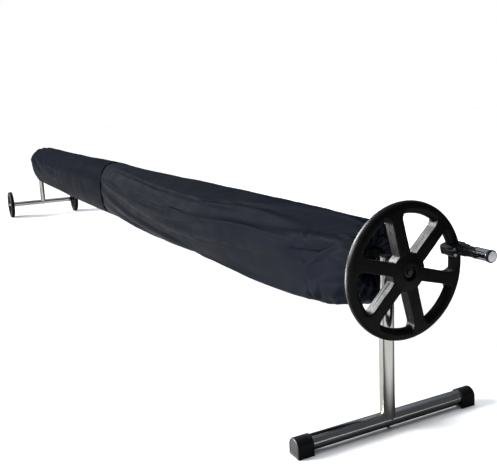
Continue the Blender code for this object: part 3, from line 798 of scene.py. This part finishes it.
def studio():
    """A sky that is brightest high on the left, a low sun, panels for single pieces, and a pale floor."""
    scene = bpy.context.scene
    scene.view_settings.view_transform = "Standard"
    world = bpy.data.worlds.new("studio")
    scene.world = world
    world.use_nodes = True
    nodes, link = world.node_tree.nodes, world.node_tree.links.new
    sky = nodes["Background"]
    toward = nodes.new("ShaderNodeVectorMath")
    toward.operation = "DOT_PRODUCT"
    toward.inputs[1].default_value = Vector((-0.45, -0.25, 0.86)).normalized()
    link(nodes.new("ShaderNodeTexCoord").outputs["Generated"], toward.inputs[0])
    glow = nodes.new("ShaderNodeMapRange")
    glow.interpolation_type = "SMOOTHSTEP"
    for socket, value in (("From Min", 0.30), ("From Max", 1.0), ("To Min", 0.16), ("To Max", 0.9)):
        glow.inputs[socket].default_value = value
    link(toward.outputs["Value"], glow.inputs["Value"])
    link(glow.outputs["Result"], sky.inputs["Strength"])
    sky.inputs["Color"].default_value = (0.80, 0.89, 1.0, 1)
    backdrop = nodes.new("ShaderNodeBackground")
    backdrop.inputs["Color"].default_value = (1, 1, 1, 1)
    mix = nodes.new("ShaderNodeMixShader")
    link(nodes.new("ShaderNodeLightPath").outputs["Is Camera Ray"], mix.inputs["Fac"])
    link(sky.outputs["Background"], mix.inputs[1])
    link(backdrop.outputs["Background"], mix.inputs[2])
    link(mix.outputs["Shader"], nodes["World Output"].inputs["Surface"])

    data = bpy.data.lights.new("sun", "SUN")
    data.energy = 8.0
    data.angle = radians(24)
    data.color = (1.0, 0.985, 0.96)
    sun = bpy.data.objects.new("sun", data)
    scene.collection.objects.link(sun)
    sun.matrix_world = Vector((-0.40, -0.80, 0.44)).to_track_quat("Z", "Y").to_matrix().to_4x4()

    hand, far_x = NEAR.translation, CAD_BOX[0].x
    work = bmesh.new()
    bmesh.ops.create_grid(work, x_segments=1, y_segments=1, size=90)
    paper = Look("pale_floor", (0.68, 0.68, 0.675), 0.9, Specular_IOR_Level=0.1)
    paper.blend_colour(paper.noise(0.8, 3), (0.66, 0.66, 0.66))
    # Painted reflection: for glossy rays only, the floor's colour is painted dark behind the reel and beside the
    # near foot, so bright metal reflects it darker there, as if black cards lay there.
    spot = paper.node("ShaderNodeSeparateXYZ")
    paper.link(paper.node("ShaderNodeNewGeometry").outputs["Position"], spot.inputs["Vector"])
    x, y = spot.outputs["X"], spot.outputs["Y"]
    beside = paper.math("MULTIPLY", paper.ramp(x, 0, 1, hand.x - 0.05, hand.x),
                        paper.ramp(x, 1, 0, hand.x + 0.15, hand.x + 0.45))
    painted_dark_reflection = paper.math("MAXIMUM", paper.ramp(y, 0, 1, 0.9, 1.3), beside)
    reflected = paper.node("ShaderNodeLightPath").outputs["Is Glossy Ray"]
    # Painted dark reflection: the floor turns dark only where glossy rays see it.
    paper.blend_colour(paper.math("MULTIPLY", painted_dark_reflection, reflected), (0.06, 0.06, 0.065), 0, 1)
    finish_mesh("floor", work, paper.material, 0)
    # Panels: name, place, target, size, watts, and the only pieces that each one lights.
    for row in (
        ("long_panel", (far_x + 0.9, -1.9, 2.3), (hand.x - 1.5, 0, 0.6), (2.6, 1.0), 45),
        ("upper_panel", (hand.x - 2.2, -1.05, 1.95), (hand.x, 0, 0.55), (1.7, 1.7), 620, "hand_wheel"),
        ("lower_panel", (hand.x - 1.15, -0.95, 0.32), (hand.x, 0, 0.50), (0.8, 0.5), 80, "hand_wheel"),
        ("end_panel", (hand.x + 0.35, -1.45, 0.60), (hand.x - 0.25, -0.1, 0.5), (0.6, 0.4), 36,
         "sleeve_over_near_end"),
        ("cap_panel", (hand.x - 0.7, -1.5, 0.30), (hand.x, -0.35, 0.03), (0.8, 0.5), 260,
         "foot_cap_left", "foot_cap_right"),
        ("tyre_panel", (far_x - 0.5, -2.4, 0.9), (far_x, 0, 0.15), (1.2, 0.8), 300,
         "left_rubber_tyre", "right_rubber_tyre"),
        ("floor_panel", (hand.x - 2.0, 0.5, 4.5), (hand.x - 2.0, 0.5, 0), (8.0, 8.0), 420, "floor"),
    ):
        area_light(*row)


# ---- sleeves

AROUND = 120  # points round a sleeve
HEM_R = 0.0462  # outside of a gathered hem, round the reel tube

# Sections: place along the reel, the fabric's height above the axis, its depth below, and its half
# width. The far sleeve's open end goes over the near sleeve's.
NEAR_SECTIONS = [
    (-0.086, HEM_R, HEM_R, HEM_R), (-0.072, HEM_R, HEM_R, HEM_R), (-0.052, 0.068, 0.069, 0.068),
    (-0.043, 0.098, 0.102, 0.100), (-0.048, 0.122, 0.134, 0.128), (-0.074, 0.135, 0.152, 0.143),
    (-0.140, 0.139, 0.166, 0.150), (-0.250, 0.140, 0.189, 0.155), (-0.500, 0.141, 0.215, 0.160),
    (-1.000, 0.142, 0.228, 0.162), (-2.000, 0.139, 0.238, 0.163), (-2.600, 0.137, 0.241, 0.162),
    (-2.820, 0.1345, 0.236, 0.157), (-3.100, 0.1330, 0.233, 0.155), (-3.380, 0.1320, 0.231, 0.154),
]
FAR_SECTIONS = [
    (-5.844, HEM_R, HEM_R, HEM_R), (-5.856, HEM_R, HEM_R, HEM_R), (-5.876, 0.068, 0.074, 0.069),
    (-5.885, 0.090, 0.126, 0.102), (-5.880, 0.109, 0.168, 0.132), (-5.858, 0.121, 0.206, 0.152),
    (-5.790, 0.131, 0.238, 0.164), (-5.600, 0.1345, 0.246, 0.164), (-4.800, 0.1345, 0.247, 0.163),
    (-4.000, 0.1350, 0.247, 0.163), (-3.300, 0.1370, 0.243, 0.161), (-3.040, 0.1370, 0.239, 0.160),
]
FULLNESS = 0.87  # under 1, the slack underside is fuller than an ellipse


def profile_rows(sections, fine=0.008, coarse=0.020):
    """Sections on a smooth curve through the given ones: fine steps over the gathered end, then coarse."""
    keys = np.array(sections)
    chord = np.concatenate([[0], np.cumsum(np.linalg.norm(np.diff(keys, axis=0), axis=1))])
    slope = np.gradient(keys, chord, axis=0)
    places, at = [], 0.0
    while at < chord[-1]:
        places.append(at)
        at += fine + (coarse - fine) * min(1.0, max(0.0, (at - 0.55) / 0.5))
    places[-1] = chord[-1]
    rows = []
    for at in places:
        i = min(int(np.searchsorted(chord, at, "right")) - 1, len(keys) - 2)
        gap = chord[i + 1] - chord[i]
        u = (at - chord[i]) / gap
        rows.append((2 * u**3 - 3 * u**2 + 1) * keys[i] + (u**3 - 2 * u**2 + u) * gap * slope[i]
                    + (3 * u**2 - 2 * u**3) * keys[i + 1] + (u**3 - u**2) * gap * slope[i + 1])
    return np.array(places), np.array(rows)


def step_up(value, low, high):
    u = np.clip((value - low) / (high - low), 0, 1)
    return u * u * (3 - 2 * u)


def smoothed(grid, along, around):
    """A running mean of a grid over so many rows and so many points round to each side."""
    rows = len(grid)
    sums = np.cumsum(np.concatenate([grid[:1] * 0, grid]), axis=0)
    low = np.clip(np.arange(rows) - along, 0, rows)
    high = np.clip(np.arange(rows) + along + 1, 0, rows)
    grid = (sums[high] - sums[low]) / (high - low)[:, None, None]
    return sum(np.roll(grid, k, axis=1) for k in range(-around, around + 1)) / (2 * around + 1)


def soft_noise(x, y, z, seed):
    return noise.noise(Vector((x + 17.3 * seed, y - 5.1 * seed, z + 2.7 * seed)))


class Cloth:
    """A sleeve's sheet as a grid of rows along it and points round it."""

    def __init__(self, name, sections, look):
        self.name, self.look = name, look
        self.reach, self.rows = profile_rows(sections)
        turns = 2 * pi * np.arange(AROUND) / AROUND
        self.turns = turns
        x, above, below, wide = (self.rows[:, k][:, None] for k in range(4))
        across, rise = np.cos(turns)[None, :], np.sin(turns)[None, :]
        slack = np.clip(-3 * rise, 0, 1)  # blends from the round top to the fuller underside
        power = 1 + (FULLNESS - 1) * slack
        y = wide * np.sign(across) * np.abs(across) ** power
        z = np.where(rise > 0, above, below) * np.sign(rise) * np.abs(rise) ** power
        self.points = np.stack([np.broadcast_to(x, y.shape), y, z], axis=2)

    def normals(self):
        along = np.gradient(self.points, axis=0)
        around = np.roll(self.points, -1, axis=1) - np.roll(self.points, 1, axis=1)
        out = np.cross(around, along)
        out /= np.linalg.norm(out, axis=2, keepdims=True) + 1e-12
        middle = self.points[len(self.points) // 2, AROUND // 4]
        if out[len(self.points) // 2, AROUND // 4] @ (middle * (0, 1, 1)) < 0:
            out = -out
        return out

    def lift(self, amount):
        self.points = self.points + self.normals() * amount[:, :, None]

    def pleat(self, count, deep, seed):
        """Pleats that are deep at the drawn hem and die away past the shoulder."""
        phase = np.array([count * t + 2.2 * soft_noise(1.5 * cos(t), 1.5 * sin(t), 0, seed)
                          for t in self.turns])
        size = np.array([0.72 + 0.55 * soft_noise(2.4 * cos(t), 2.4 * sin(t), 3, seed)
                         for t in self.turns])
        lean = 0.8 * np.sin(self.reach * 9)[:, None]
        wave = np.sin(phase[None, :] + lean) + 0.30 * np.sin(2 * phase[None, :] + 1.1)
        inside = 1 - step_up(self.reach, 0.09, 0.18)
        outside = step_up(self.reach, 0.02, 0.09) * (1 - step_up(self.reach, 0.14, 0.46))
        amount = deep * (inside[:, None] + 0.22 * outside[:, None]) * wave * size[None, :]
        amount *= np.clip(0.3 + self.reach / 0.03, 0, 1)[:, None]
        self.lift(amount)

    def bulge(self, reach):
        """The gathered end swells towards the post, except underneath, where the post is."""
        radius = np.linalg.norm(self.points[:, :, 1:], axis=2)
        swell = step_up(radius, 0.065, 0.110) * (1 - step_up(self.reach, 0.10, 0.32))[:, None]
        below = np.exp(-(((np.degrees(self.turns) - 270) / 30) ** 2))[None, :]
        self.points[:, :, 0] += reach * swell * (1 - below)

    def slant_hem(self, shift, over):
        """The open end reaches further along at the sides than it does above and below."""
        near_end = 1 - step_up(self.reach[-1] - self.reach, 0, over)
        self.points[:, :, 0] += shift * near_end[:, None] * np.cos(self.turns)[None, :] ** 2

    def relief(self, amount, seed, stretch=2.2, scale=7.0):
        """Long soft swells and hollows, drawn out along the sleeve."""
        grid = np.zeros(self.points.shape[:2])
        for i in range(len(grid)):
            for j in range(AROUND):
                x, y, z = self.points[i, j]
                grid[i, j] = (soft_noise(x * scale / stretch, y * scale, z * scale, seed)
                              + 0.45 * soft_noise(x * scale, y * scale * 2.1, z * scale * 2.1, seed + 1))
        open_end = step_up(self.reach[-1] - self.reach, 0.30, 0.60)
        quiet = step_up(self.reach, 0.10, 0.30) * (0.15 + 0.85 * open_end)
        self.lift(amount * grid * quiet[:, None])

    def fold(self, start, end, width, height, sharp=1.0):
        """A raised fold, with a hollow beside it, from one (place along, degrees round) to another."""
        x = self.points[:, :, 0]
        turn = np.degrees(self.turns)[None, :] + 0 * x
        girth = 0.0029  # metres round for each degree, near enough
        ax, at, bx, bt = *start, *end
        along = np.array([bx - ax, (bt - at) * girth])
        size = np.linalg.norm(along)
        along /= size
        off = (turn - at + 180) % 360 - 180
        u = ((x - ax) * along[0] + off * girth * along[1]) / size
        v = -(x - ax) * along[1] + off * girth * along[0]
        taper = np.clip(1 - (2 * u - 1) ** 2, 0, 1) ** 0.6 * (np.abs(2 * u - 1) < 1)
        ridge = np.exp(-np.abs(v / width) ** (2 / sharp))
        hollow = np.exp(-(((v + 1.7 * width) / (1.3 * width)) ** 2))
        self.lift(height * taper * (ridge - 0.55 * hollow))

    def mesh(self):
        points = [NEAR @ Vector(p) for p in self.points.reshape(-1, 3)]
        squares = [((i, j), (i, j + 1), (i + 1, j + 1), (i + 1, j))
                   for i in range(len(self.points) - 1) for j in range(AROUND)]
        obj = new_piece(self.name)
        obj.data.from_pydata(points, [], [[i * AROUND + j % AROUND for i, j in square] for square in squares])
        weave = obj.data.uv_layers.new(name="cloth")
        girth = 1.1 / AROUND  # metres of cloth from point to point round it
        spots = [(j * girth, self.reach[i]) for square in squares for i, j in square]
        weave.data.foreach_set("uv", np.ravel(spots))
        obj.data.materials.append(self.look)
        return obj

    def settle(self, obj, growth, most, frames=30):
        """Cloth simulation: the sheet is a little too large for its place, and buckles into creases."""
        holds = obj.vertex_groups.new(name="hold")
        grows = obj.vertex_groups.new(name="grow")
        near = 1 - step_up(self.reach, 0.30, 1.1)
        for i, reach in enumerate(self.reach):
            ids = list(range(i * AROUND, (i + 1) * AROUND))
            last = self.reach[-1] - reach
            open_end = 1 - float(step_up(last, 0.0, 0.06))
            hold = 1.0 if i < 3 else 0.02 + 0.03 * (1 - near[i]) + 0.5 * open_end
            holds.add(ids, hold, "REPLACE")
            grows.add(ids, float(0.10 + 0.90 * near[i]), "REPLACE")
        before = corners_of(obj)
        cloth = obj.modifiers.new("settle", "CLOTH")
        for key, value in (("quality", 6), ("mass", 0.15), ("tension_stiffness", 25),
                           ("compression_stiffness", 25), ("shear_stiffness", 8),
                           ("bending_stiffness", 0.25), ("vertex_group_mass", "hold"),
                           ("pin_stiffness", 1.0), ("vertex_group_shrink", "grow"),
                           ("shrink_min", 0.0), ("shrink_max", -growth)):
            setattr(cloth.settings, key, value)
        cloth.settings.effector_weights.gravity = 0.35
        cloth.collision_settings.use_collision = False
        cloth.point_cache.frame_end = frames + 1
        for frame_number in range(1, frames + 1):
            bpy.context.scene.frame_set(frame_number)
        apply_modifiers(obj)
        bpy.context.scene.frame_set(1)
        # What moves the whole sleeve is taken back out, so that its outline stays and the creases remain.
        move = (corners_of(obj) - before).reshape(self.points.shape)
        move -= smoothed(move, 14, 16)
        size = np.linalg.norm(move, axis=2, keepdims=True)
        move *= np.minimum(1, most / (size + 1e-9))
        move *= (0.10 + 0.90 * step_up(self.reach[-1] - self.reach, 0.40, 0.90))[:, None, None]
        obj.data.vertices.foreach_set("co", (before + move.reshape(-1, 3)).ravel())
        obj.data.update()

    def keep_clear(self, obj):
        """Keeps the sheet off the roll inside it and off the post past its end."""
        low, high, roll = measure("blanket_roll", NEAR)
        points = through(corners_of(obj), NEAR.inverted())
        radius = np.hypot(points[:, 1], points[:, 2])
        least = roll + 0.003
        tight = (points[:, 0] > low - 0.02) & (points[:, 0] < high + 0.02) & (radius < least)
        points[tight, 1:] *= (least / radius[tight])[:, None]
        points[:, 0] = np.minimum(points[:, 0], -0.0285)
        obj.data.vertices.foreach_set("co", through(points, NEAR).ravel())
        obj.data.update()

    def thicken(self, obj, thick=0.0016):
        change = obj.modifiers.new("fabric", "SOLIDIFY")
        change.thickness = thick
        change.offset = -1
        change.use_even_offset = False
        apply_modifiers(obj)
        obj.data.shade_smooth()


# Folds in the near sleeve: from and to (place along the reel, degrees round), width, height, sharpness.
NEAR_FOLDS = [
    ((-3.00, 118), (-1.25, 136), 0.030, 0.0050, 1.2),
    ((-1.36, 136), (-1.02, 130), 0.008, 0.0042),
    ((-1.10, 134), (-0.84, 131), 0.010, -0.0030),
    ((-0.95, 129), (-0.53, 132), 0.009, 0.0060),
    ((-0.62, 136), (-0.27, 134), 0.014, 0.0060, 1.2),
    ((-1.85, 152), (-1.30, 172), 0.022, 0.0050),
    ((-1.40, 176), (-1.24, 160), 0.010, 0.0060),
    ((-1.30, 178), (-1.17, 164), 0.008, 0.0040),
    ((-1.20, 172), (-0.55, 158), 0.022, 0.0050),
    ((-0.60, 158), (-0.30, 162), 0.018, 0.0060),
    ((-0.275, 134), (-0.225, 162), 0.010, 0.0060),
    ((-0.250, 152), (-0.070, 112), 0.009, 0.0055),
    ((-0.215, 130), (-0.085, 104), 0.009, 0.0045),
    ((-0.250, 157), (-0.065, 128), 0.008, 0.0050),
    ((-0.330, 160), (-0.250, 192), 0.012, 0.0045),
    ((-0.255, 193), (-0.060, 146), 0.009, 0.0075),
    ((-0.185, 176), (-0.055, 138), 0.008, 0.0055),
    ((-0.130, 178), (-0.060, 158), 0.008, 0.0045),
    ((-0.260, 205), (-0.195, 244), 0.016, -0.0130),
    ((-0.215, 232), (-0.150, 205), 0.010, -0.0080),
    ((-0.300, 222), (-0.255, 262), 0.016, 0.0060),
    ((-0.160, 240), (-0.060, 200), 0.012, 0.0060),
]


def hang(cloth, node, growth, most):
    piece = cloth.mesh()
    cloth.settle(piece, growth, most)
    cloth.keep_clear(piece)
    cloth.thicken(piece)
    wear(piece, node)


def sleeves():
    near = Cloth("sleeve_over_near_end", NEAR_SECTIONS, NEAR_CLOTH)
    near.pleat(19, 0.0075, 1)
    near.bulge(0.018)
    near.relief(0.0030, 2)
    for row in NEAR_FOLDS:
        near.fold(*row)
    hang(near, "sleeve_near", 0.06, 0.012)
    far = Cloth("sleeve_over_far_end", FAR_SECTIONS, FAR_CLOTH)
    far.slant_hem(0.16, 0.5)
    far.pleat(19, 0.0050, 4)
    far.relief(0.0020, 5)
    hang(far, "sleeve_far", 0.02, 0.004)


camera()
cross_tube("foot_tube", "near_foot_tube")
cross_tube("cross_tube", "far_cross_tube")
post("near", "near_foot_tube")
post("far", "far_cross_tube")
for label, place in (("near", NEAR), ("far", FAR)):
    post_cap(label)
    bearing(label, place)
foot_cap("near_foot_cap_left", -1)
foot_cap("near_foot_cap_right", 1)
hand_wheel()
wheel_hardware()
grip_bracket()
crank_grip()
reel_ends()
far_wheel("left", LEFT)
far_wheel("right", RIGHT)
sleeves()
studio()

SLOT_LOOKS = {
    "polished_stainless": STEEL_Z,
    "mill_aluminium": ALUMINIUM,
    "plated_steel": PLATED,
    "chrome_sleeve": CHROME,
    "black_moulded_plastic": TRIM_BLACK,
    "black_rubber": TYRE,
    "grey_bearing_plastic": BEARING,
    "silver_cap": SILVER,
    "bubble_blanket": FILM,
    "navy_polyester": NEAR_CLOTH,
}
for node, slot in SLOT.items():
    materials = frame["nodes"][node].data.materials
    materials.clear()
    materials.append(BLACK_BOLT if node == "near_axle_collar" else SLOT_LOOKS[slot])
